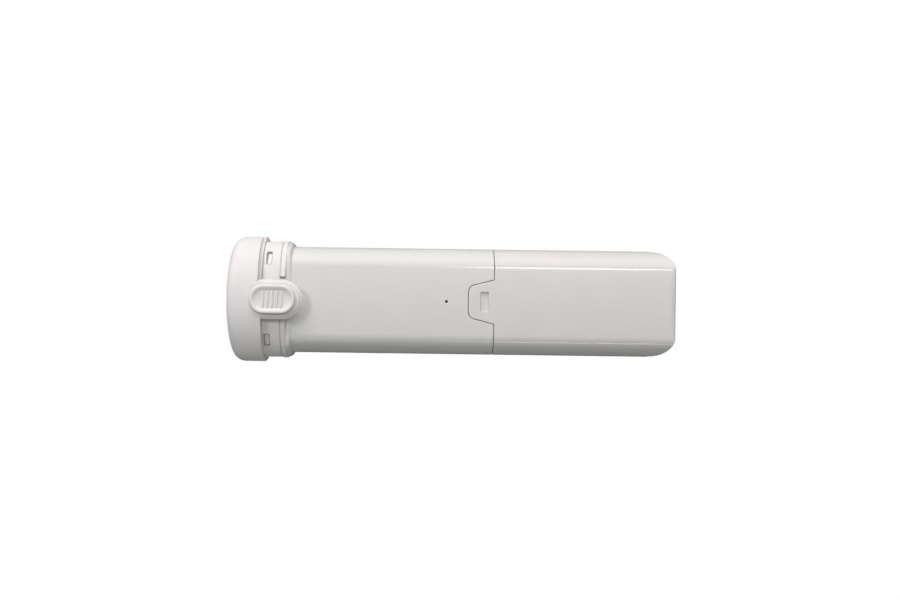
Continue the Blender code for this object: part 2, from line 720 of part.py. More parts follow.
def make_sleeve():
    """The inner sleeve that the battery cover slides over."""
    outer_r, outer_h = INNER_R - GAP, INNER_H - GAP
    wall = 1.5
    low, high = TONGUE_TIP_X - 4.0, COVER_X + 7.0
    rings = [
        tube_ring(low, outer_r, outer_h, INNER_FILLET),
        tube_ring(COVER_X + 2.0, outer_r, outer_h, INNER_FILLET),
        tube_ring(COVER_X + 2.0, outer_r - 0.9, outer_h - 0.9, INNER_FILLET),
        tube_ring(COVER_X + 4.0, outer_r - 0.9, outer_h - 0.9, INNER_FILLET),
        tube_ring(COVER_X + 4.0, outer_r, outer_h, INNER_FILLET),
        tube_ring(high, outer_r - 0.3, outer_h - 0.3, INNER_FILLET),
        tube_ring(high, outer_r - wall, outer_h - wall, INNER_FILLET),
        tube_ring(low, outer_r - wall, outer_h - wall, INNER_FILLET),
    ]
    skin("joint_sleeve", rings, MATTE_WHITE, looped=True)
    seal_r, seal_h = outer_r - 0.6, outer_h - 0.6
    seal = [
        tube_ring(COVER_X + 2.3, seal_r, seal_h, INNER_FILLET),
        tube_ring(COVER_X + 2.6, seal_r + 0.7, seal_h + 0.7, INNER_FILLET),
        tube_ring(COVER_X + 3.4, seal_r + 0.7, seal_h + 0.7, INNER_FILLET),
        tube_ring(COVER_X + 3.7, seal_r, seal_h, INNER_FILLET),
    ]
    skin("cover_seal", seal, RUBBER, looped=True)


def make_tray():
    right = [(15.3, -12.5), (19.2, -8.2), (20.2, -5.0), (20.2, 3.0), (19.0, 3.0), (19.0, -4.6)]
    right += [(18.1, -7.4), (14.7, -11.0)]
    outline = right + [(-y, z) for y, z in reversed(right)]
    tray = flat_solid("battery_tray", outline, TRAY_LOW_X, TRAY_HIGH_X, BLACK_PLASTIC, normal="X")
    half = [(15.3, -12.5), (19.2, -8.2), (20.2, -5.0), (20.2, 3.0), (17.0, 9.0)]
    wall = half + [(-y, z) for y, z in reversed(half)]
    for low in (TRAY_LOW_X, TRAY_HIGH_X - 1.5):
        join(tray, flat_solid("end_wall", wall, low, low + 1.5, normal="X"))
    join(tray, box("lug", (TRAY_SCREW_X - 4.5, -9.0, -13.6), (TRAY_LOW_X + 1.0, 9.0, -12.0)))
    join(tray, box("ridge", (TRAY_LOW_X + 1, -0.6, -11.6), (TRAY_HIGH_X - 1, 0.6, -6.5)))
    for k, y in enumerate((-6.0, 6.0)):
        cut(tray, rod("lug_hole", (TRAY_SCREW_X, y, -15), (TRAY_SCREW_X, y, -11), 1.0, sides=12))
        seat, head = (TRAY_SCREW_X, y, -9.9), (TRAY_SCREW_X, y, -9.0)
        screw = rod(f"tray_screw_{k + 1}", seat, head, 1.7, STEEL, sides=16)
        join(screw, rod("shank", (TRAY_SCREW_X, y, -13.4), (TRAY_SCREW_X, y, -9.4), 0.7, sides=10))
        hole = rod("tray_hole", (TRAY_SCREW_X, y, -12), (TRAY_SCREW_X, y, -10), 1.1, sides=12)
        cut(bpy.data.objects["chassis"], hole)
    for y in (-CELL_Y, CELL_Y):
        cut(tray, box("tab_slot", (TRAY_LOW_X - 1, y - 1.8, -1.3), (TRAY_LOW_X + 2, y + 1.8, 1.3)))
    return tray


def make_cells():
    for k, side in enumerate((1, -1)):
        ends = [(0.0, 8.4), (0.4, 9.2), (62.0, 9.2), (62.3, 8.9), (62.7, 9.2), (64.1, 9.2), (64.5, 8.4)]
        nub = [(64.5, 3.2), (65.3, 3.0)]
        profile = [(along, r) for along, r in ends + nub]
        if side > 0:
            profile = [(CELL_LOW_X + along, r) for along, r in profile]
        else:
            profile = [(CELL_HIGH_X + 0.6 - along, r) for along, r in profile]
        turned(f"cell_{k + 1}", profile, (side * CELL_Y, 0), CELL_WRAP, steps=28)


def coil_points(start_x, end_x, y, big, small, turns, per_turn=9):
    total = int(turns * per_turn)
    points = []
    for k in range(total + 1):
        share = k / total
        turn = math.tau * turns * share
        radius = big + (small - big) * share
        points.append(
            (start_x + (end_x - start_x) * share, y + radius * math.cos(turn), radius * math.sin(turn))
        )
    return points


def coil(name, points):
    curve = bpy.data.curves.new(name, "CURVE")
    curve.dimensions = "3D"
    curve.bevel_depth = 0.3 * MM
    curve.bevel_resolution = 1
    curve.use_fill_caps = True
    spline = curve.splines.new("POLY")
    spline.points.add(len(points) - 1)
    for point, place in zip(spline.points, points):
        point.co = (*(at_axis(*place) * MM), 1.0)
    curve.materials.append(STEEL)
    obj = bpy.data.objects.new(name, curve)
    PARTS.objects.link(obj)
    return obj


def make_contacts():
    near = TRAY_LOW_X + 1.5 + GAP
    far = TRAY_HIGH_X - 1.5 - GAP
    plate_t = 0.5
    for name, y in (("negative_plate", CELL_Y), ("positive_plate", -CELL_Y)):
        plate = box(name, (near, y - 5.0, -6.0), (near + plate_t, y + 5.0, 6.0), STEEL)
        join(plate, box("solder_tab", (TRAY_LOW_X - 1.4, y - 1.5, -1.0), (near + 0.3, y + 1.5, 1.0)))
        if y < 0:
            join(plate, rod("button", (near + 0.2, y, 0), (CELL_LOW_X - 0.5, y, 0), 3.0, end_radius=2.2))
    coil("negative_spring", coil_points(near + plate_t + 0.6, CELL_LOW_X - 0.6, CELL_Y, 4.0, 3.0, 2.5))
    bridge = box("bridge_plate", (far - plate_t, -14.5, -6.0), (far, 14.5, 6.0), STEEL)
    start, end = (far - 0.2, CELL_Y, 0), (CELL_LOW_X + 65.3 + GAP, CELL_Y, 0)
    join(bridge, rod("button", start, end, 3.0, end_radius=2.2))
    coil(
        "bridge_spring",
        coil_points(far - plate_t - 0.6, CELL_HIGH_X + 1.2, -CELL_Y, 4.0, 3.0, 2.5),
    )


COVER_CORNER = 11.4
COVER_EDGE_FILLET = 2.2
NOTCH_LOW_X = 12.9
NOTCH_HIGH_X = 16.8
NOTCH_HALF_Y = 4.6


def cover_ring(x, inset):
    """The battery cover's section at x, inset from its outside."""
    corner = COVER_CORNER - inset
    return end_ring(
        x,
        TAIL_X - inset - x,
        BODY_R - inset,
        BODY_H - inset,
        BACK_H - inset,
        BODY_FILLET - inset,
        corner=(corner, corner),
        edge=COVER_EDGE_FILLET,
        blend=1.6,
    )


def make_cover():
    rings = [cover_ring(TAIL_X - s, 0.0) for s in (0.0, 0.1, 0.5, 1.2, 2.3, 4.0, 6.4, 8.8, 11.5)]
    rings += [cover_ring(COVER_X, 0.0), cover_ring(COVER_X, WALL)]
    rings += [cover_ring(TAIL_X - WALL - s, WALL) for s in (9.5, 6.0, 3.0, 1.0, 0.0)]
    cover = skin("battery_cover", rings, GLOSS_WHITE)
    join(cover, flat_solid("tongue", tongue_outline(0.0, COVER_X + 1.5), INNER_H + 0.05, BODY_H))
    ramp = [
        (NOTCH_LOW_X, BODY_H + 1),
        (NOTCH_LOW_X, BODY_H - 0.4),
        (NOTCH_HIGH_X, BODY_H - 1.4),
        (NOTCH_HIGH_X, BODY_H + 1),
    ]
    cut(cover, flat_solid("finger_notch", ramp, -NOTCH_HALF_Y, NOTCH_HALF_Y, normal="Y"))
    return cover


def make_wires():
    solder_x = TRAY_LOW_X - 1.4 - GAP
    board_under = BOARD_TOP_Z - BOARD_T - GAP
    leads = (("battery_lead_black", CELL_Y, WIRE_BLACK), ("battery_lead_red", -CELL_Y, WIRE_RED))
    for name, y, material in leads:
        side = math.copysign(1.0, y)
        route = [
            (solder_x, y, 0.0),
            (11.5, y, 0.3),
            (7.5, y - side * 1.0, 2.0),
            (3.5, y - side * 2.0, 4.6),
            (-1.0, y - side * 4.5, 7.5),
            (-5.0, y - side * 5.5, board_under - 0.6),
        ]
        wire(name, route, 0.6, material)
    for name, y, material in (("led_lead_black", 7.5, WIRE_BLACK), ("led_lead_red", -7.5, WIRE_RED)):
        route = [
            (-65.7, y, -12.6),
            (-69.0, y, -12.4),
            (-71.5, y, -8.0),
            (-71.5, y, 0.0),
            (-68.0, y, 6.0),
            (-65.0, y - math.copysign(2.0, y), 8.2),
            (-58.0, y - math.copysign(2.5, y), board_under - 0.8),
        ]
        wire(name, route, 0.6, material)
    cut(
        bpy.data.objects["chassis"],
        box("lead_window", (-74.5, -9.5, -13), (-65.5, 9.5, -9)),
    )


def hang(name, place, children, parent=None):
    """An empty on a joint's axis that carries the pieces that move about it."""
    axis = bpy.data.objects.new(name, None)
    axis.empty_display_size = 0.01
    PARTS.objects.link(axis)
    axis.location = at_axis(*place) * MM
    axis.parent = parent
    if parent:
        bpy.context.view_layer.update()
        axis.matrix_parent_inverse = parent.matrix_world.inverted()
    bpy.context.view_layer.update()
    for child in children:
        piece = bpy.data.objects[child]
        piece.parent = axis
        piece.matrix_parent_inverse = axis.matrix_world.inverted()
    return axis


clear_scene()
PARTS = new_collection("light_tube")
GLOSS_WHITE = plastic("gloss_white_shell", (0.80, 0.79, 0.79), 0.18)
MATTE_WHITE = plastic("satin_white_trim", (0.82, 0.80, 0.80), 0.45)
OPAL = plastic("opal_lens", (0.90, 0.91, 0.90), 0.35)
BLACK_PLASTIC = plastic("black_plastic", (0.03, 0.03, 0.035), 0.5)
STEEL = plastic("bright_steel", (0.60, 0.60, 0.60), 0.28, 1.0)
ALUMINIUM = plastic("aluminium", (0.72, 0.72, 0.73), 0.35, 1.0)
RUBBER = plastic("black_rubber", (0.02, 0.02, 0.02), 0.7)
GREEN_BOARD = plastic("green_board", (0.02, 0.16, 0.06), 0.4)
WHITE_BOARD = plastic("white_board", (0.85, 0.85, 0.83), 0.35)
LED_YELLOW = plastic("led_phosphor", (0.95, 0.80, 0.20), 0.4)
CELL_WRAP = plastic("cell_wrap", (0.05, 0.16, 0.30), 0.3)
WIRE_RED = plastic("red_wire", (0.45, 0.02, 0.02), 0.45)
WIRE_BLACK = plastic("black_wire", (0.02, 0.02, 0.02), 0.45)

make_collar()
make_end_cap()
make_rotor()
make_lock()
make_tube()
make_lens()
make_light()
make_driver()
make_sleeve()
make_tray()
make_cells()
make_contacts()
make_cover()
make_wires()

cap_axis = hang(
    "cap_axis", (CAP_EDGE_X, 0, 0), ("end_cap", "cap_rotor", "rotor_magnet", "rotor_screw")
)
hang("latch_axis", (-84.7, 0, CAP_H), ("latch_pad", "latch_bolt", "latch_screw"), cap_axis)
hang("cover_axis", (COVER_X, 0, 0), ("battery_cover",))
hang("plunger_axis", (PINHOLE_X, 0, BOARD_TOP_Z), ("reset_plunger",))
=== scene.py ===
"""Looks for the battery light tube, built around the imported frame.

Shapes are worked out in millimetres, with heights measured from the tube's axis, and turned into metres
when a mesh is made. +X runs from the end cap to the battery cover and +Z out of the front face.
"""

import json
import math

import bmesh
import bpy
from mathutils import Matrix, Vector


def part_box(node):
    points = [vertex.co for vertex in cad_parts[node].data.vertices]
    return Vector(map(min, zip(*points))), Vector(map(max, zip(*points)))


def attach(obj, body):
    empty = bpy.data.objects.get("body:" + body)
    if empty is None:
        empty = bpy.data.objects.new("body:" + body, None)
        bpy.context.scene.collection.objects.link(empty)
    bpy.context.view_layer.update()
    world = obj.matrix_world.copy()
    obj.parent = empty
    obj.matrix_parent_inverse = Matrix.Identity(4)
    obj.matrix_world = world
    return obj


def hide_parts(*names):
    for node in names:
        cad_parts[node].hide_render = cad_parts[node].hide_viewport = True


MM = 0.001


# Sizes that the frame gives


def box_mm(node):
    """A CAD node's lowest and highest corners in millimetres, with heights from the tube's axis."""
    low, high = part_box(node)
    lift = Vector((0, 0, AXIS_Z))
    return low / MM - lift, high / MM - lift


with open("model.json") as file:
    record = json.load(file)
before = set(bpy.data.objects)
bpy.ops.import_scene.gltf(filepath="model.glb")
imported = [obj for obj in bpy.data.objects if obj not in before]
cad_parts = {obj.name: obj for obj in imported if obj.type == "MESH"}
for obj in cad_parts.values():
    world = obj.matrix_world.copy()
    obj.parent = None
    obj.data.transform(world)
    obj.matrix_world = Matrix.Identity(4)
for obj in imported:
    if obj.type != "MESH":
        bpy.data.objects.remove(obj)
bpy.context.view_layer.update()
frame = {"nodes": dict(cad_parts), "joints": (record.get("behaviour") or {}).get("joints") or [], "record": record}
joints = {joint["name"]: joint for joint in frame["joints"]}
AXIS_Z = joints["cap_turn"]["pos_m"][2] / MM

COVER_LOW, COVER_HIGH = box_mm("battery_cover")
TUBE_LOW, TUBE_HIGH = box_mm("tube_housing")
COLLAR_LOW, COLLAR_HIGH = box_mm("collar")
CAP_LOW, CAP_HIGH = box_mm("end_cap")
PAD_LOW, PAD_HIGH = box_mm("latch_pad")
LENS_LOW, LENS_HIGH = box_mm("diffuser_lens")

GAP = 0.3
WALL = 2.0
HEAD_X = CAP_LOW.x
TAIL_X = COVER_HIGH.x
BACK_H = -COVER_LOW.z
BODY_H = COVER_HIGH.z
BODY_R = 25.0
CREASE = 7.0
INNER_CREASE = CREASE - WALL
CROWN = 0.7
JOINT_X = TUBE_HIGH.x
COVER_X = JOINT_X + GAP
INNER_R = BODY_R - WALL
INNER_H = BODY_H - WALL

CAP_R = CAP_HIGH.y
CAP_H = CAP_HIGH.z
CAP_WALL = 2.2
CAP_DOME = 2.3
CAP_EDGE_X = joints["cap_turn"]["pos_m"][0] / MM
TAB_START_X = -95.3
TAB_END_X = CAP_HIGH.x
TAB_HALF_Y = 9.0
TAB_UNDER_Z = 22.6
CAP_END_DEPTH = 7.0
FLANGE_T = 2.6
STEP_WIDTH = 1.5

COLLAR_R = 27.3
COLLAR_DOME = 2.5
GROOVE_X = -79.7
GROOVE_WIDTH = 0.5
GROOVE_DEPTH = 0.75
RIM_X = -77.0

NOTCH_X = 14.8
RIBS = 5
RIB_PITCH = 2.1
RIB_HALF_Y = 3.2


# Meshes


def to_metres(point):
    x, y, z = point
    return Vector((x, y, z + AXIS_Z)) * MM


def new_object(name, mesh):
    obj = bpy.data.objects.new(name, mesh)
    bpy.context.scene.collection.objects.link(obj)
    return obj


def loft(name, rings, looped=False, close=True):
    """A skin through rings of equal point count, closed unless the last ring meets the first."""
    bm = bmesh.new()
    rows = [[bm.verts.new(to_metres(point)) for point in ring] for ring in rings]
    pairs = list(zip(rows, rows[1:]))
    if looped:
        pairs.append((rows[-1], rows[0]))
    elif close:
        bm.faces.new(rows[0])
        bm.faces.new(rows[-1])
    count = len(rows[0])
    for low, high in pairs:
        for i in range(count):
            j = (i + 1) % count
            bm.faces.new((low[i], low[j], high[j], high[i]))
    bmesh.ops.recalc_face_normals(bm, faces=bm.faces)
    mesh = bpy.data.meshes.new(name)
    bm.to_mesh(mesh)
    bm.free()
    return new_object(name, mesh)


def turned(name, profile, centre=(0.0, 0.0), steps=64):
    """A solid turned about an axis along X, from (x, radius) points; a repeated end point closes it."""
    closed = profile[0] == profile[-1]
    rings = []
    for x, radius in profile[: -1 if closed else None]:
        turns = [math.tau * k / steps for k in range(steps)]
        rings.append(
            [(x, centre[0] + radius * math.cos(t), centre[1] + radius * math.sin(t)) for t in turns]
        )
    return loft(name, rings, looped=closed)


def block(name, low, high, bevel=0.0, segments=2):
    """A box with rounded edges."""
    bm = bmesh.new()
    low, high = to_metres(low), to_metres(high)
    bmesh.ops.create_cube(bm, size=1.0)
    bmesh.ops.scale(bm, vec=high - low, verts=bm.verts)
    bmesh.ops.translate(bm, vec=(low + high) / 2, verts=bm.verts)
    if bevel:
        bmesh.ops.bevel(
            bm, geom=bm.edges, offset=bevel * MM, segments=segments, affect="EDGES", profile=0.5
        )
    mesh = bpy.data.meshes.new(name)
    bm.to_mesh(mesh)
    bm.free()
    return new_object(name, mesh)


def about_axis(obj, degrees, shift=(0.0, 0.0, 0.0)):
    """Turns a mesh about the tube's axis, then shifts it."""
    centre = Matrix.Translation(Vector((0, 0, AXIS_Z * MM)))
    turn = centre @ Matrix.Rotation(math.radians(degrees), 4, "X") @ centre.inverted()
    obj.data.transform(Matrix.Translation(Vector(shift) * MM) @ turn)
    return obj


def combine(obj, other, operation):
    modifier = obj.modifiers.new("combine", "BOOLEAN")
    modifier.operation = operation
    modifier.object = other
    bpy.context.view_layer.update()
    graph = bpy.context.evaluated_depsgraph_get()
    mesh = bpy.data.meshes.new_from_object(obj.evaluated_get(graph))
    obj.modifiers.clear()
    obj.data = mesh
    bpy.data.objects.remove(other, do_unlink=True)
    return obj


def cut(obj, other):
    return combine(obj, other, "DIFFERENCE")


def join(obj, other):
    return combine(obj, other, "UNION")


def finish(obj, material, body, slot, *replaced, degrees=22.0):
    """Shades a piece smooth, gives it its material and sets it on its body."""
    if obj.type == "MESH":
        obj.data.shade_smooth()
        obj.data.set_sharp_from_angle(angle=math.radians(degrees))
    obj.data.materials.clear()
    obj.data.materials.append(material)
    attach(obj, body)
    if replaced:
        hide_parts(*replaced)
    return obj


# Outlines

SIDE_STEPS = 22
FILLET_STEPS = 12


def soft_limit(value, limit, blend):
    """value held to within limit either way, with the corner eased over blend."""
    size = abs(value)
    near = max(blend - abs(size - limit), 0.0) / blend
    return math.copysign(min(size, limit) - near * near * blend / 4, value)


def flat_edge(radius, height, fillet, crown):
    """The half width of a crowned front, its tilt where the fillet meets it and the fillet's centre."""
    tilt = math.atan(crown / 7.5)
    centre_z = height - crown - fillet * math.cos(tilt)
    centre_y = math.sqrt((radius - fillet) ** 2 - centre_z**2)
    return centre_y + fillet * math.sin(tilt), tilt, centre_y, centre_z


def quarter_section(radius, height, fillet, crown=0.0):
    """A quarter of a circle with a nearly flat top and an eased corner, from its side inwards."""
    half, tilt, centre_y, centre_z = flat_edge(radius, height, fillet, crown)
    meet = math.atan2(centre_z, centre_y)
    points = []
    for k in range(SIDE_STEPS):
        turn = meet * k / SIDE_STEPS
        points.append((radius * math.cos(turn), radius * math.sin(turn)))
    for k in range(FILLET_STEPS + 1):
        turn = meet + (math.pi / 2 - tilt - meet) * k / FILLET_STEPS
        points.append((centre_y + fillet * math.cos(turn), centre_z + fillet * math.sin(turn)))
    shares = (0.9, 0.8, 0.68, 0.54, 0.4, 0.26, 0.12)
    return points + [(half * share, height - crown * share**2) for share in shares]


def crowned(ring):
    """A ring lowered onto the body's crowned front."""
    half = flat_edge(BODY_R, BODY_H, CREASE, CROWN)[0]
    return [(x, y, z - CROWN * (min(abs(y), half) / half) ** 2) for x, y, z in ring]


def dome_height(y, radius, height, power):
    """The height of a domed front over a place across the tube."""
    return height * (1 - (abs(y) / radius) ** power) ** (1 / power)


def dome_section(radius, height, power):
    """A quarter of a superellipse, with as many points as quarter_section."""
    count = SIDE_STEPS + FILLET_STEPS + 8
    turns = [math.pi / 2 * k / count for k in range(count)]
    return [(radius * math.cos(t) ** (2 / power), height * math.sin(t) ** (2 / power)) for t in turns]


def section(
    x,
    radius,
    height,
    fillet,
    half_width=None,
    drop=0.0,
    blend=1.2,
    back=None,
    back_fillet=2.0,
    dome=0.0,
    crown=0.0,
):
    """The tube's section at x: round sides with a flat, crowned or domed front and a flat back.

    half_width holds it in from the sides, and drop lowers its front and back.
    """
    back = back or height
    if dome:
        front_half = dome_section(radius, height, dome)
    else:
        front_half = quarter_section(radius, height, fillet, crown)
    back_half = quarter_section(radius, back, back_fillet)
    outline = front_half + [(0.0, height)] + [(-y, z) for y, z in reversed(front_half)]
    outline += [(-y, -z) for y, z in back_half[1:]] + [(0.0, -back)]
    outline += [(y, -z) for y, z in reversed(back_half[1:])]
    if half_width:
        outline = [(soft_limit(y, half_width, blend), z) for y, z in outline]
    if drop:
        outline = [(y, soft_limit(z, (height if z > 0 else back) - drop, blend)) for y, z in outline]
    return [(x, y, z) for y, z in outline]


def end_drop(from_end, depth, rise):
    """How far a rounded end falls in at a distance from it, along a quarter of an ellipse."""
    if from_end >= depth:
        return 0.0
    return rise - rise * math.sqrt(1 - ((depth - from_end) / depth) ** 2)


def eased_stations(depth, steps):
    """Distances from a rounded end, close together at the end itself, out to depth."""
    return [depth * (1 - math.cos(math.pi / 2 * k / steps)) for k in range(steps + 1)]


def end_section(x, from_end, radius, height, back, fillet, corner, edge, blend, crown):
    """The section near a rounded end: a corner (depth, rise) in plan and an edge radius in side view."""
    side_drop = end_drop(from_end, *corner)
    half_width = radius - side_drop if side_drop else None
    drop = end_drop(from_end, edge, edge)
    return section(x, radius, height, fillet, half_width, drop, blend, back, crown=crown)


def shrunk(ring, share):
    """A flat ring drawn in towards its middle."""
    middle = sum((Vector(p) for p in ring), Vector()) / len(ring)
    return [tuple(middle + (Vector(p) - middle) * share) for p in ring]


def stadium(low_x, high_x, half_width, z, steps=24):
    """A slot-shaped ring along X with round ends."""
    ring = []
    for centre, start in ((high_x - half_width, -90), (low_x + half_width, 90)):
        for k in range(steps + 1):
            turn = math.radians(start + 180 * k / steps)
            ring.append((centre + half_width * math.cos(turn), half_width * math.sin(turn), z))
    return ring


def rounded_ring(half_x, half_y, radius, z, centre=(0.0, 0.0), steps=8):
    """A rounded rectangle at height z."""
    ring = []
    for quarter, (sx, sy) in enumerate(((1, 1), (-1, 1), (-1, -1), (1, -1))):
        for k in range(steps + 1):
            turn = math.radians(90 * (quarter + k / steps))
            ring.append(
                (
                    centre[0] + sx * (half_x - radius) + radius * math.cos(turn),
                    centre[1] + sy * (half_y - radius) + radius * math.sin(turn),
                    z,
                )
            )
    return ring


TONGUE_TIP_X = 7.5
TONGUE_BASE_Y = 10.0
TONGUE_TIP_Y = 7.1
TONGUE_CORNER = 3.5


def tongue_ring(grow, root_x, z):
    """The battery cover's tongue in plan, grown all round by grow, with rounded corners at its tip."""
    slope = math.atan2(TONGUE_BASE_Y - TONGUE_TIP_Y, JOINT_X - TONGUE_TIP_X)
    corner = TONGUE_CORNER + grow
    centre_x = TONGUE_TIP_X + TONGUE_CORNER
    side_y = TONGUE_TIP_Y + grow / math.cos(slope) + TONGUE_CORNER * math.tan(slope)
    centre_y = side_y - corner / math.cos(slope)
    arc = []
    for k in range(13):
        turn = math.pi - (math.pi / 2 - slope) * k / 12
        arc.append((centre_x + corner * math.cos(turn), centre_y + corner * math.sin(turn)))
    root_y = side_y + (root_x - centre_x) * math.tan(slope)
    upper = [*arc, (root_x, root_y)]
    return [(x, y, z) for x, y in upper + [(x, -y) for x, y in reversed(upper)]]


def quarter_round(radius, steps=4):
    """(inset, depth) steps over a rounded edge, from the side wall up to the top face."""
    turns = [math.pi / 2 * k / steps for k in range(steps + 1)]
    return [(radius * (1 - math.cos(t)), radius * (1 - math.sin(t))) for t in turns]


# Materials


class Nodes:
    """Short calls for a material's node tree."""

    def __init__(self, name):
        self.material = bpy.data.materials.new(name)
        self.material.use_nodes = True
        self.tree = self.material.node_tree
        self.shader = self.tree.nodes["Principled BSDF"]
        self.place = self.tree.nodes.new("ShaderNodeTexCoord").outputs["Object"]

    def link(self, a, b):
        self.tree.links.new(a, b)

    def noise(self, scale, detail=3.0, stretch=None):
        node = self.tree.nodes.new("ShaderNodeTexNoise")
        node.inputs["Scale"].default_value = scale
        node.inputs["Detail"].default_value = detail
        place = self.place
        if stretch:
            mapping = self.tree.nodes.new("ShaderNodeMapping")
            mapping.inputs["Scale"].default_value = stretch
            self.link(place, mapping.inputs["Vector"])
            place = mapping.outputs["Vector"]
        self.link(place, node.inputs["Vector"])
        return node.outputs["Fac"]

    def ramp(self, value, low, high, from_value=0.3, to_value=0.7):
        node = self.tree.nodes.new("ShaderNodeMapRange")
        node.inputs["From Min"].default_value = from_value
        node.inputs["From Max"].default_value = to_value
        node.inputs["To Min"].default_value = low
        node.inputs["To Max"].default_value = high
        self.link(value, node.inputs["Value"])
        return node.outputs["Result"]

    def blend(self, value, first, second):
        node = self.tree.nodes.new("ShaderNodeMix")
        node.data_type = "RGBA"
        node.inputs["A"].default_value = (*first, 1.0)
        node.inputs["B"].default_value = (*second, 1.0)
        self.link(value, node.inputs["Factor"])
        return node.outputs["Result"]

    def bump(self, height, distance, strength=1.0, under=None):
        node = self.tree.nodes.new("ShaderNodeBump")
        node.inputs["Distance"].default_value = distance
        node.inputs["Strength"].default_value = strength
        self.link(height, node.inputs["Height"])
        if under:
            self.link(under, node.inputs["Normal"])
        return node.outputs["Normal"]

    def set(self, socket, value):
        self.shader.inputs[socket].default_value = value

    def drive(self, socket, output):
        self.link(output, self.shader.inputs[socket])


def gloss_plastic(name, light, shade):
    """Polished moulded plastic: faint sink marks, fine hairlines and a little haze."""
    m = Nodes(name)
    m.drive("Base Color", m.blend(m.ramp(m.noise(55.0, 4.0), 0.0, 1.0), light, shade))
    haze = m.noise(900.0, 5.0)
    m.drive("Roughness", m.ramp(haze, 0.10, 0.20))
    sink = m.bump(m.noise(75.0, 1.0), 0.00006)
    hair = m.bump(m.noise(1500.0, 2.0, stretch=(0.04, 1.0, 1.0)), 0.0000025, under=sink)
    m.drive("Normal", hair)
    m.set("IOR", 1.5)
    m.set("Specular IOR Level", 0.5)
    return m.material


def satin_plastic(name, light, shade, rough=(0.42, 0.56), grain=0.000018):
    """Fine spark-eroded plastic: a tight grain over soft colour variation."""
    m = Nodes(name)
    m.drive("Base Color", m.blend(m.ramp(m.noise(70.0, 5.0), 0.0, 1.0), light, shade))
    fine = m.noise(3200.0, 3.0)
    m.drive("Roughness", m.ramp(fine, *rough))
    soft = m.bump(m.noise(240.0, 2.0), 0.00002)
    m.drive("Normal", m.bump(fine, grain, under=soft))
    m.set("IOR", 1.48)
    return m.material


def metal(name, light, shade, rough, stretch):
    """Drawn or rolled metal with fine lines along one direction."""
    m = Nodes(name)
    lines = m.noise(900.0, 4.0, stretch=stretch)
    m.drive("Base Color", m.blend(m.ramp(lines, 0.0, 1.0), light, shade))
    m.drive("Roughness", m.ramp(lines, *rough))
    m.drive("Normal", m.bump(lines, 0.000006))
    m.set("Metallic", 1.0)
    return m.material


def opal(name):
    """Opal diffusing plastic with fine lines across it."""
    m = Nodes(name)
    cloud = m.noise(180.0, 3.0)
    m.drive("Base Color", m.blend(m.ramp(cloud, 0.0, 1.0), (0.86, 0.87, 0.86), (0.80, 0.82, 0.81)))
    wave = m.tree.nodes.new("ShaderNodeTexWave")
    wave.bands_direction = "X"
    wave.inputs["Scale"].default_value = 260.0
    m.link(m.place, wave.inputs["Vector"])
    m.drive("Roughness", m.ramp(cloud, 0.22, 0.34))
    m.drive("Normal", m.bump(wave.outputs["Fac"], 0.00008))
    m.set("Subsurface Weight", 0.25)
    m.set("Subsurface Radius", (0.003, 0.003, 0.003))
    m.set("Subsurface Scale", 1.0)
    return m.material


def circuit_board(name, mask, trace):
    """Solder mask over copper: blocky traces show through as a slightly lighter relief."""
    m = Nodes(name)
    cells = m.tree.nodes.new("ShaderNodeTexVoronoi")
    cells.distance = "CHEBYCHEV"
    cells.feature = "F1"
    cells.inputs["Scale"].default_value = 420.0
    cells.inputs["Randomness"].default_value = 0.75
    m.link(m.place, cells.inputs["Vector"])
    relief = m.ramp(cells.outputs["Distance"], 0.0, 1.0, 0.42, 0.5)
    m.drive("Base Color", m.blend(relief, mask, trace))
    m.drive("Roughness", m.ramp(m.noise(700.0), 0.25, 0.4))
    m.drive("Normal", m.bump(relief, 0.00003))
    return m.material


def plain(name, light, shade, rough, scale=400.0, depth=0.00001):
    m = Nodes(name)
    cloud = m.noise(scale, 4.0)
    m.drive("Base Color", m.blend(m.ramp(cloud, 0.0, 1.0), light, shade))
    m.drive("Roughness", m.ramp(cloud, *rough))
    m.drive("Normal", m.bump(cloud, depth))
    return m.material


LOOKS = {
    "gloss_white": gloss_plastic("gloss_white", (0.805, 0.787, 0.785), (0.79, 0.772, 0.77)),
    "cover_white": gloss_plastic("cover_gloss_white", (0.82, 0.777, 0.782), (0.80, 0.758, 0.765)),
    "satin_white": satin_plastic("satin_white", (0.85, 0.813, 0.822), (0.83, 0.795, 0.803)),
    "opal_lens": opal("opal_lens"),
    "black_plastic": satin_plastic(
        "black_plastic", (0.030, 0.030, 0.033), (0.022, 0.022, 0.024), rough=(0.42, 0.6)
    ),
    "steel": metal("steel", (0.66, 0.65, 0.63), (0.56, 0.56, 0.55), (0.18, 0.34), (1.0, 0.08, 1.0)),
    "aluminium": metal(
        "aluminium", (0.76, 0.77, 0.78), (0.68, 0.69, 0.70), (0.28, 0.42), (0.06, 1.0, 1.0)
    ),
    "rubber": plain("rubber", (0.022, 0.022, 0.023), (0.014, 0.014, 0.015), (0.55, 0.75), 1500.0),
    "green_board": circuit_board("green_board", (0.012, 0.105, 0.04), (0.03, 0.20, 0.08)),
    "white_board": circuit_board("white_board", (0.80, 0.80, 0.77), (0.86, 0.86, 0.84)),
    "led_phosphor": plain("led_phosphor", (0.93, 0.76, 0.12), (0.88, 0.66, 0.08), (0.25, 0.4), 900.0),
    "cell_wrap": plain("cell_wrap", (0.03, 0.12, 0.27), (0.025, 0.10, 0.22), (0.16, 0.28), 120.0, 0.00002),
    "red_wire": plain("red_wire", (0.48, 0.02, 0.02), (0.40, 0.015, 0.015), (0.32, 0.45), 600.0),
    "black_wire": plain("black_wire", (0.022, 0.022, 0.022), (0.015, 0.015, 0.015), (0.32, 0.45), 600.0),
}


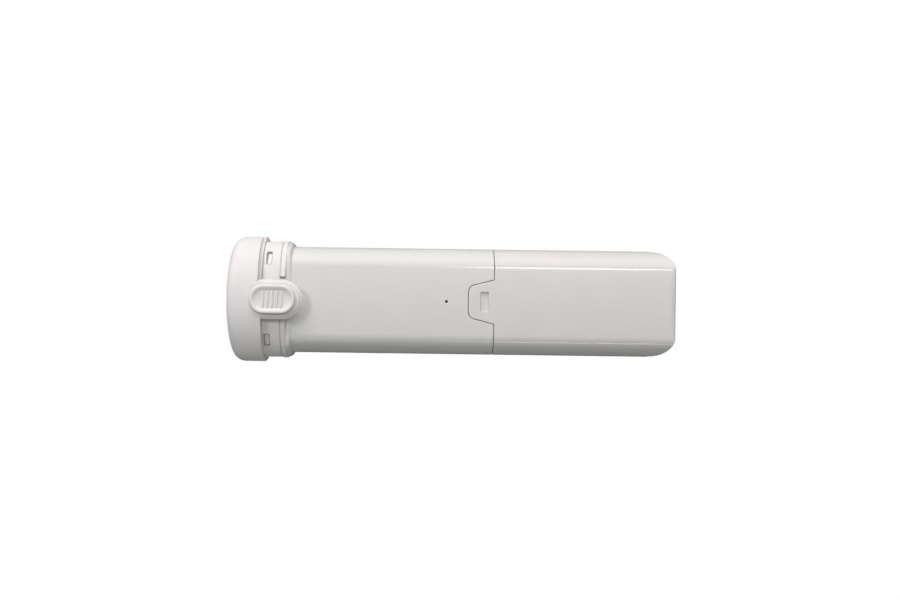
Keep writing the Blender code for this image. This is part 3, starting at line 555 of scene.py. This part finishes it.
# Edge radii for the pieces that keep the frame's own shape
EDGED = {
    "chassis": 0.2,
    "battery_tray": 0.25,
    "driver_board": 0.1,
    "led_board": 0.1,
    "driver_chip": 0.12,
    "hall_sensor": 0.1,
    "reset_switch": 0.12,
    "bridge_plate": 0.1,
    "negative_plate": 0.1,
    "positive_plate": 0.1,
}


def dress_frame():
    """Gives every CAD node that stays the look of its material slot."""
    for part in frame["record"]["subparts"]:
        obj = frame["nodes"][part["node"]]
        obj.data.shade_smooth()
        obj.data.set_sharp_from_angle(angle=math.radians(32))
        obj.data.materials.clear()
        obj.data.materials.append(LOOKS[part["material_slot"]])
        if part["node"] in EDGED:
            bevel = obj.modifiers.new("edges", "BEVEL")
            bevel.width = EDGED[part["node"]] * MM
            bevel.segments = 2
            bevel.limit_method = "ANGLE"
            bevel.angle_limit = math.radians(50)


# Camera, floor and light

CAMERA_HEIGHT = 565.0
CAMERA_X = -10.33
CAMERA_Y = 0.76
CAMERA_TURN = 0.79


def add_camera():
    data = bpy.data.cameras.new("camera")
    data.sensor_width = 36.0
    data.lens = 47.46
    data.shift_x = 0.0222
    camera = new_object("camera", data)
    turn = Matrix.Rotation(math.radians(CAMERA_TURN), 4, "Z")
    camera.matrix_world = turn @ Matrix.Translation(to_metres((CAMERA_X, CAMERA_Y, CAMERA_HEIGHT)))
    bpy.context.scene.camera = camera


def area_light(name, place, aim, size, level, colour=(1.0, 1.0, 1.0)):
    """An area light that lights a facing surface at aim to level times its own colour."""
    data = bpy.data.lights.new(name, "AREA")
    data.shape = "RECTANGLE"
    data.size, data.size_y = size
    place, aim = Vector(place), Vector(aim)
    data.energy = level * math.pi**2 * (place - aim).length_squared
    data.color = colour
    light = new_object(name, data)
    light.location = place
    light.rotation_euler = (aim - place).to_track_quat("-Z", "Y").to_euler()
    return light


def strip_light(name, low_x, high_x, y, z, width, radiance):
    """A narrow lamp along X that faces the tube."""
    data = bpy.data.lights.new(name, "AREA")
    data.shape = "RECTANGLE"
    data.size = high_x - low_x
    data.size_y = width
    data.energy = radiance * math.pi * data.size * width
    light = new_object(name, data)
    light.location = ((low_x + high_x) / 2, y, z)
    across = Vector((0, y, z)).normalized()
    light.matrix_world = Matrix.Translation(light.location) @ Matrix(
        ((1, 0, 0), (0, across.z, across.y), (0, -across.y, across.z))
    ).to_4x4()
    return light


def add_stage():
    scene = bpy.context.scene
    scene.view_settings.view_transform = "Standard"
    floor_mesh = bpy.data.meshes.new("floor")
    half = 3.0
    floor_mesh.from_pydata(
        [(-half, -half, 0), (half, -half, 0), (half, half, 0), (-half, half, 0)], [], [(0, 1, 2, 3)]
    )
    floor = new_object("floor", floor_mesh)
    floor.location.z = -0.0002
    m = Nodes("pale_floor")
    m.set("Base Color", (0.32, 0.34, 0.32, 1.0))
    m.set("Roughness", 0.9)
    m.set("Specular IOR Level", 0.1)
    seen = m.tree.nodes.new("ShaderNodeLightPath").outputs["Is Camera Ray"]
    glow = m.tree.nodes.new("ShaderNodeEmission")
    glow.inputs["Strength"].default_value = 1.0
    mix = m.tree.nodes.new("ShaderNodeMixShader")
    m.link(seen, mix.inputs["Fac"])
    m.link(m.shader.outputs["BSDF"], mix.inputs[1])
    m.link(glow.outputs["Emission"], mix.inputs[2])
    m.link(mix.outputs["Shader"], m.tree.nodes["Material Output"].inputs["Surface"])
    floor_mesh.materials.append(m.material)

    world = bpy.data.worlds.new("studio")
    scene.world = world
    world.use_nodes = True
    tree = world.node_tree
    back = tree.nodes["Background"]
    back.inputs["Color"].default_value = (0.95, 1.0, 0.95, 1.0)
    back.inputs["Strength"].default_value = 0.23
    white = tree.nodes.new("ShaderNodeBackground")
    white.inputs["Strength"].default_value = 1.0
    path = tree.nodes.new("ShaderNodeLightPath")
    mix = tree.nodes.new("ShaderNodeMixShader")
    tree.links.new(path.outputs["Is Camera Ray"], mix.inputs["Fac"])
    tree.links.new(back.outputs["Background"], mix.inputs[1])
    tree.links.new(white.outputs["Background"], mix.inputs[2])
    tree.links.new(mix.outputs["Shader"], tree.nodes["World Output"].inputs["Surface"])

    window = area_light("window", (-0.15, 1.25, 0.60), (0, 0, 0.02), (1.6, 1.0), 0.80, (1.0, 0.99, 0.98))
    window.visible_glossy = False
    area_light("key", (-0.58, 0.37, 0.80), (0, 0, 0.02), (0.28, 0.28), 0.225, (1.0, 0.995, 0.985))
    area_light("fill", (1.30, -0.10, 0.45), (0, 0, 0.02), (0.8, 0.8), 0.015, (1.0, 1.0, 1.0))
    strip_light("upper_strip", 0.045, 0.30, 0.32, 0.895, 0.045, 36.0)
    for low_x, high_x, radiance in ((-0.16, -0.11, 9.0), (0.0, 0.03, 9.0), (0.05, 0.30, 16.0)):
        strip_light("lower_strip", low_x, high_x, -0.81, 0.49, 0.035, radiance)


# Tube and battery cover


def cover_section(x, inset):
    corner = 10.2 - inset
    return end_section(
        x,
        TAIL_X - inset - x,
        BODY_R - inset,
        BODY_H - inset,
        BACK_H - inset,
        CREASE - inset,
        corner=(corner, corner),
        edge=2.2,
        blend=0.8,
        crown=0.0 if inset else CROWN,
    )


def make_cover():
    stations = eased_stations(2.2, 9) + [2.2 + 9.2 * (k / 14) for k in range(1, 15)]
    outside = [cover_section(TAIL_X - s, 0.0) for s in stations]
    outside.insert(0, shrunk(outside[0], 0.96))
    outside.append(section(COVER_X + 0.6, BODY_R, BODY_H, CREASE, crown=CROWN))
    for inset, along in quarter_round(0.22):
        outside.append(section(COVER_X + along, BODY_R - inset, BODY_H - inset, CREASE, crown=CROWN))
    inside = [section(COVER_X, INNER_R, INNER_H, INNER_CREASE)]
    inner_stations = [9.4 * (1 - k / 10) for k in range(10)]
    inside += [cover_section(TAIL_X - WALL - s, WALL) for s in (*inner_stations, 0.0)]
    cover = loft("battery_cover_shell", outside + inside)
    tongue = [tongue_ring(0.0, COVER_X + 1.5, INNER_H + 0.05)]
    for inset, depth in quarter_round(0.22):
        tongue.append(crowned(tongue_ring(-inset, COVER_X + 1.5, BODY_H - depth - 0.01)))
    for grow in (-0.8, -2.0, -4.0):
        tongue.append(crowned(tongue_ring(grow, COVER_X + 1.5 + grow, BODY_H - 0.01)))
    join(cover, loft("tongue", tongue))
    floor = rounded_ring(1.95, 4.65, 0.45, 0.0, (NOTCH_X, 0.0))
    notch = [[(x, y, BODY_H - 0.8 - 0.65 * (x - 12.85) / 3.9) for x, y, _ in floor]]
    for grow, z in ((0.0, -0.12), (0.05, -0.04), (0.14, 0.0), (0.14, 1.0)):
        notch.append(rounded_ring(1.95 + grow, 4.65 + grow, 0.45 + grow, BODY_H + z, (NOTCH_X, 0.0)))
    cut(cover, loft("notch", notch))
    return finish(cover, LOOKS["cover_white"], "battery_cover", "gloss_white", "battery_cover")


def make_tube():
    start = TUBE_LOW.x - 0.25
    first = {"back": BACK_H - 0.2, "back_fillet": 3.0, "crown": CROWN}
    outside = [section(start, BODY_R + 2.0, BODY_H + 0.3, CREASE, **first)]
    for k in range(11):
        share = k / 10
        grow = 1 - share**1.8
        along = start + 0.15 + 2.2 * math.sin(share * math.pi / 2)
        outside.append(
            section(
                along,
                BODY_R + grow * 2.2,
                BODY_H + grow * 0.5,
                CREASE,
                back=BACK_H,
                back_fillet=2.0 + grow,
                crown=CROWN,
            )
        )
    for x in (start + 3.0, -4.6, -0.9, 6.2, JOINT_X - 0.6):
        outside.append(section(x, BODY_R, BODY_H, CREASE, crown=CROWN))
    for inset, along in quarter_round(0.22):
        outside.append(section(JOINT_X - along, BODY_R - inset, BODY_H - inset, CREASE, crown=CROWN))
    inside = [section(x, INNER_R, INNER_H, INNER_CREASE) for x in (JOINT_X, start)]
    tube = loft("tube_shell", outside + inside, looped=True)
    pocket = [tongue_ring(GAP, JOINT_X + 3, INNER_H - 1)]
    for inset, depth in quarter_round(0.22):
        pocket.append(crowned(tongue_ring(GAP + inset, JOINT_X + 3, BODY_H - depth)))
    pocket.append(tongue_ring(GAP + 0.22, JOINT_X + 3, BODY_H + 2))
    cut(tube, loft("pocket", pocket))
    hole_low, hole_high = box_mm("reset_plunger")
    hole_x = (hole_low.x + hole_high.x) / 2
    hole = []
    for radius, z in ((0.65, INNER_H - 1), (0.65, BODY_H - 0.1), (0.75, BODY_H), (0.75, BODY_H + 1)):
        hole.append(rounded_ring(radius, radius, radius - 0.001, z, (hole_x, 0.0)))
    cut(tube, loft("pinhole", hole))
    middle = (LENS_LOW.x + LENS_HIGH.x) / 2
    half_x = (LENS_HIGH.x - LENS_LOW.x) / 2 - 1.8 + GAP
    half_y = LENS_HIGH.y - 1.8 + GAP
    window = []
    for grow, z in ((0.0, -INNER_H + 1), (0.0, -BACK_H + 0.2), (0.2, -BACK_H), (0.2, -BACK_H - 1)):
        window.append(rounded_ring(half_x + grow, half_y + grow, 4.0 + GAP + grow, z, (middle, 0.0)))
    cut(tube, loft("window", window))
    return finish(tube, LOOKS["gloss_white"], "tube", "gloss_white", "tube_housing")


# Cap, collar and lock


def cap_ring(x, inset):
    return section(
        x, CAP_R - inset, CAP_H - inset, 0.0, back=BACK_H - inset, back_fillet=4.0, dome=CAP_DOME
    )


def cap_section(x, inset):
    """The cap's section at x, inset from its outside: it narrows to a rounded end."""
    from_end = max(x - HEAD_X - inset, 0.05)
    depth = max(1 - from_end / (CAP_END_DEPTH - inset), 0.0)
    across = (1 - depth**2.4) ** (1 / 8)
    along = 1 - end_drop(from_end, 4.0, 2.0) / CAP_H
    return [(x, y * across, z * along) for x, y, z in cap_ring(x, inset)]


def make_cap():
    stations = [CAP_END_DEPTH * (k / 30) ** 2.6 for k in range(31)]
    outside = [cap_section(HEAD_X + s, 0.0) for s in stations]
    outside.insert(0, shrunk(outside[0], 0.9))
    outside.append(cap_section(CAP_EDGE_X - 1.2, 0.0))
    outside += [cap_ring(CAP_EDGE_X - along, inset) for inset, along in quarter_round(0.35, 4)]
    flange = [section(x, 24.0, 17.0, 6.0, back=12.0) for x in (CAP_EDGE_X, CAP_EDGE_X - FLANGE_T)]
    inner = [*flange, cap_ring(CAP_EDGE_X - FLANGE_T, CAP_WALL)]
    inner += [cap_section(HEAD_X + CAP_WALL + s, CAP_WALL) for s in (4.4, 2.8, 1.5, 0.7, 0.2, 0.0)]
    cap = loft("end_cap_shell", outside + inner)
    step = block("step", (CAP_EDGE_X - STEP_WIDTH, 7.0, 6.0), (CAP_EDGE_X + 1, 32.0, 30.0))
    ledge = [section(x, 28.2, 20.9, 0.0, back=BACK_H, dome=COLLAR_DOME) for x in (-95.0, -80.0)]
    cut(step, loft("ledge", ledge))
    cut(cap, step)
    tab = [stadium(TAB_START_X, TAB_END_X - 1.0, TAB_HALF_Y - 1.0, TAB_UNDER_Z)]
    tab.append(stadium(TAB_START_X, TAB_END_X - 0.1, TAB_HALF_Y - 0.1, TAB_UNDER_Z + 0.15))
    edge = [(0.0, 1.3), (0.05, 1.06), (0.2, 0.94), (0.8, 0.86)]
    edge += [(0.95, 0.78), (1.0, 0.4), (1.08, 0.14), (1.3, 0.02)]
    for inset, depth in edge:
        tab.append(domed(stadium(TAB_START_X, TAB_END_X - inset, TAB_HALF_Y - inset, -depth)))
    for inset in (2.6, 4.6, 6.8):
        tab.append(domed(stadium(TAB_START_X + inset, TAB_END_X - inset, TAB_HALF_Y - inset, -0.02)))
    join(cap, loft("tab", tab))
    cut(cap, block("slot", (-86.6, -2.0, TAB_UNDER_Z - 1), (-79.6, 2.0, CAP_H + 1)))
    cut(cap, block("bolt_slot", (CAP_EDGE_X - 2, -2.8, 15.2), (CAP_EDGE_X + 0.5, 2.8, TAB_UNDER_Z)))
    join(cap, turned("boss", [(HEAD_X + 1.2, 6.0), (-96.3, 6.0)]))
    cut(cap, turned("boss_hole", [(-100.6, 1.5), (-95.0, 1.5)]))
    return finish(cap, LOOKS["satin_white"], "end_cap", "satin_white", "end_cap")


def domed(ring):
    """A ring raised half way towards the cap's domed front from its highest line."""
    return [(x, y, z + (CAP_H + dome_height(y, CAP_R, CAP_H, CAP_DOME)) / 2) for x, y, z in ring]


def make_pad():
    low, high = PAD_LOW.x, PAD_HIGH.x
    half = PAD_HIGH.y
    base = CAP_H + GAP
    top = PAD_HIGH.z
    profile = [(0.3, base), (0.0, base + 0.25), (0.0, top - 0.75)]
    profile += [(0.75 - 0.75 * math.cos(t), top - 0.75 + 0.75 * math.sin(t)) for t in eighths(1, 8)]
    dish = [(1.15, 0.04), (1.55, 0.2), (1.95, 0.52), (2.35, 0.76), (2.9, 0.9), (5.2, 1.05)]
    profile += [(inset, top - depth) for inset, depth in dish]
    rings = [stadium(low + inset, high - inset, half - inset, z) for inset, z in profile]
    pad = loft("thumb_pad", rings)
    join(pad, block("stem", (-86.2, -1.7, 22.4), (-83.2, 1.7, base + 0.4)))
    cut(pad, block("screw_hole", (-85.5, -0.8, 22.0), (-83.9, 0.8, 24.6)))
    middle = (low + high) / 2
    rib_side = [(0.72, 1.3), (0.66, 0.9), (0.55, 0.62), (0.36, 0.44), (0.14, 0.38)]
    for k in range(RIBS):
        x = middle + (k - (RIBS - 1) // 2) * RIB_PITCH
        rib = []
        for half, depth in rib_side:
            rib.append(rounded_ring(half, RIB_HALF_Y + half, half * 0.98, top - depth, (x, 0.0)))
        join(pad, loft("rib", rib))
    return finish(pad, LOOKS["satin_white"], "latch", "satin_white", "latch_pad")


def eighths(first, last):
    return [math.pi / 2 * k / last for k in range(first, last + 1)]


def make_collar():
    start = COLLAR_LOW.x - 0.28
    radius, height = COLLAR_R, COLLAR_HIGH.z - 0.1
    rim_radius, rim_height = COLLAR_HIGH.y, COLLAR_HIGH.z

    def ring(x, inset=0.0, r=radius, h=height):
        return section(
            x, r - inset, h - inset, 0.0, back=BACK_H - inset * 0.6, back_fillet=3.0, dome=COLLAR_DOME
        )

    rings = [ring(start + along, inset) for inset, along in reversed(quarter_round(0.12))]
    rings += [ring(start + 1.0), ring(GROOVE_X - 0.3)]
    groove = [(-0.1, 0.05), (0.0, 0.2), (0.0, GROOVE_DEPTH), (GROOVE_WIDTH, GROOVE_DEPTH)]
    rings += [ring(GROOVE_X + along, inset) for along, inset in groove]
    rim = [(GROOVE_X + GROOVE_WIDTH, 0.2), (GROOVE_X + 0.6, 0.05), (GROOVE_X + 0.8, 0)]
    rim += [(RIM_X - along, inset) for inset, along in quarter_round(0.5)]
    rings += [ring(x, inset, rim_radius, rim_height) for x, inset in rim]
    spigot_end = COLLAR_HIGH.x
    rings += [section(x, INNER_R - GAP, INNER_H - GAP, 6.0) for x in (RIM_X, spigot_end)]
    rings += [section(x, INNER_R - WALL, INNER_H - WALL, 6.0) for x in (spigot_end, start + 5.0)]
    collar = loft("collar_ring", rings)
    cut(collar, block("rim_gap", (GROOVE_X + 0.3, -8.0, 18.4), (RIM_X + 1, 10.6, 24), 0.12, 1))
    cut(collar, block("rim_end", (GROOVE_X + 0.3, 9.3, 17.0), (RIM_X - 0.15, 10.6, 24)))
    for side, low_x, high_x in ((1, -86.3, -83.6), (-1, -87.2, -84.2)):
        half, middle = (high_x - low_x) / 2, (low_x + high_x) / 2
        place = (0.0, side * 19.15, 15.7)
        recess = []
        for grow, z in ((0.0, -2.6), (0.0, 0.0), (0.1, 0.3), (0.15, 4.0)):
            recess.append(rounded_ring(half + grow, 3.55 + grow, 0.25 + grow, z, (middle, 0.0)))
        cut(collar, about_axis(loft("window", recess), -31.4 * side, place))
        island = []
        for grow, z in ((0.0, -3.5), (0.0, -1.0), (-0.12, -0.88)):
            island.append(rounded_ring(half - 0.5 + grow, 2.75 + grow, 0.2, z, (middle + 0.2, 0.0)))
        join(collar, about_axis(loft("island", island), -31.4 * side, place))
    cut(collar, turned("bore", [(start - 1, 4.3), (start + 6, 4.3)]))
    cut(collar, turned("seal_seat", [(start - 1, 6.5), (start + 2.2, 6.5)]))
    for degrees in (0.0, -12.0):
        pocket = block("lock_pocket", (start - 1, -1.25, 15.2), (start + 3.5, 1.25, 18.8))
        cut(collar, about_axis(pocket, degrees))
        relief = block("arm_relief", (start - 1, -1.25, 15.2), (start + 0.4, 1.25, 21.0))
        cut(collar, about_axis(relief, degrees))
    for y in (-12.5, 12.5):
        cut(collar, turned("screw_hole", [(start + 1, 1.2), (start + 6, 1.2)], (y, 0.0), 24))
    return finish(collar, LOOKS["satin_white"], "tube", "satin_white", "collar")


# Light window, cells, springs and leads


def make_lens():
    middle = (LENS_LOW.x + LENS_HIGH.x) / 2
    half_x, half_y = (LENS_HIGH.x - LENS_LOW.x) / 2 - 1.8, LENS_HIGH.y - 1.8
    crown = LENS_LOW.z

    def ring(grow, z):
        return rounded_ring(half_x + grow, half_y + grow, 4.0 + grow, z, (middle, 0.0), 12)

    rings = [ring(-inset, crown + depth) for inset, depth in reversed(quarter_round(0.6, 6))]
    rings += [ring(0.0, LENS_HIGH.z - 1.2), ring(1.65, LENS_HIGH.z - 1.2), ring(1.8, LENS_HIGH.z - 1.05)]
    rings += [ring(1.8, LENS_HIGH.z - 0.15), ring(1.65, LENS_HIGH.z), ring(-1.6, LENS_HIGH.z)]
    rings += [ring(-1.6, crown + 2.0), ring(-1.75, crown + 1.7), ring(-2.1, crown + 1.6)]
    lens = loft("lens", rings)
    return finish(lens, LOOKS["opal_lens"], "tube", "opal_lens", "diffuser_lens")


def make_cells():
    """Each cell is a printed sleeve shrunk over a steel can, with a groove near its raised end."""
    sleeve = [(0.25, 7.3), (0.0, 7.5), (0.0, 8.6), (0.12, 8.95), (0.4, 9.2), (61.8, 9.2), (62.1, 9.06)]
    sleeve += [(62.3, 8.92), (62.5, 9.06), (62.8, 9.2), (64.0, 9.2), (64.35, 9.0), (64.5, 8.7)]
    sleeve += [(64.5, 7.3), (64.3, 7.1), (64.0, 8.3), (0.5, 8.3), (0.25, 7.3)]
    can = [(0.15, 8.6), (64.2, 8.6), (64.25, 4.2), (64.3, 3.5), (65.05, 3.4), (65.25, 3.2), (65.3, 2.8)]
    for node in ("cell_1", "cell_2"):
        low, high = box_mm(node)
        y = (low.y + high.y) / 2
        start, way = (low.x, 1) if y > 0 else (high.x, -1)
        wrap = turned(f"{node}_sleeve", [(start + way * x, r) for x, r in sleeve], (y, 0.0))
        steel = turned(f"{node}_can", [(start + way * x, r) for x, r in can], (y, 0.0))
        finish(wrap, LOOKS["cell_wrap"], "tube", "cell_wrap", node)
        finish(steel, LOOKS["steel"], "tube", "steel")


def wire(name, points, radius, rounds=4):
    """A round wire along a run of points."""
    curve = bpy.data.curves.new(name, "CURVE")
    curve.dimensions = "3D"
    curve.bevel_depth = radius * MM
    curve.bevel_resolution = rounds
    curve.use_fill_caps = True
    spline = curve.splines.new("POLY")
    spline.points.add(len(points) - 1)
    for point, place in zip(spline.points, points):
        point.co = (*to_metres(place), 1.0)
    path = new_object(name, curve)
    bpy.context.view_layer.update()
    graph = bpy.context.evaluated_depsgraph_get()
    mesh = bpy.data.meshes.new_from_object(path.evaluated_get(graph))
    bpy.data.objects.remove(path, do_unlink=True)
    return new_object(name, mesh)


TURN_STEPS = 40
SPRING_WIRE_R = 0.3
LEAD_R = 0.6


def coil(name, start_x, end_x, y, big, small, turns):
    """A spring that narrows from big to small on its way from start_x to end_x."""
    points = []
    for k in range(int(turns * TURN_STEPS) + 1):
        turn = math.tau * k / TURN_STEPS
        share = k / (turns * TURN_STEPS)
        radius = big + (small - big) * share
        x = start_x + (end_x - start_x) * share
        points.append((x, y + radius * math.cos(turn), radius * math.sin(turn)))
    return wire(name, points, SPRING_WIRE_R)


def smooth_route(points, steps=10):
    """Points along a Catmull-Rom curve through the route's own points."""
    knots = [Vector(p) for p in points]
    knots = [2 * knots[0] - knots[1], *knots, 2 * knots[-1] - knots[-2]]
    route = []
    for a, b, c, d in zip(knots, knots[1:], knots[2:], knots[3:]):
        for k in range(steps):
            t = k / steps
            square, cube = (2 * a - 5 * b + 4 * c - d) * t * t, (3 * b - a - 3 * c + d) * t**3
            route.append(0.5 * (2 * b + (c - a) * t + square + cube))
    return [*route, knots[-2]]


def make_springs():
    first, second = box_mm("cell_1"), box_mm("cell_2")
    for node, start_x, end_x, cell in (
        ("negative_spring", box_mm("negative_spring")[0].x + 0.3, first[0].x - 0.6, first),
        ("bridge_spring", box_mm("bridge_spring")[1].x - 0.3, second[1].x + 0.6, second),
    ):
        y = (cell[0].y + cell[1].y) / 2
        spring = coil(node + "_coil", start_x, end_x, y, 4.0, 3.0, 2.5)
        finish(spring, LOOKS["steel"], "tube", "steel", node)


def make_leads():
    board_under = box_mm("driver_board")[0].z - GAP
    solder_x = box_mm("negative_plate")[0].x - GAP
    routes = []
    for name, y, look in (
        ("battery_lead_black", 9.5, "black_wire"),
        ("battery_lead_red", -9.5, "red_wire"),
    ):
        side = math.copysign(1.0, y)
        route = [(solder_x, y, 0.0), (11.5, y, 0.3), (7.5, y - side, 2.0), (3.5, y - side * 2.0, 4.6)]
        route += [(-1.0, y - side * 4.5, 7.5), (-5.0, y - side * 5.5, board_under - 0.6)]
        routes.append((name, look, route))
    for name, y, look in (("led_lead_black", 7.5, "black_wire"), ("led_lead_red", -7.5, "red_wire")):
        side = math.copysign(1.0, y)
        route = [(-65.7, y, -12.6), (-69.0, y, -12.4), (-71.5, y, -8.0), (-71.5, y, 0.0), (-68.0, y, 6.0)]
        route += [(-65.0, y - side * 2.0, 8.2), (-58.0, y - side * 2.5, board_under - 0.8)]
        routes.append((name, look, route))
    for name, look, route in routes:
        lead = wire(name + "_smooth", smooth_route(route), LEAD_R)
        finish(lead, LOOKS[look], "tube", look, name)


dress_frame()
add_camera()
add_stage()
make_cover()
make_tube()
make_cap()
make_pad()
make_collar()
make_lens()
make_cells()
make_springs()
make_leads()
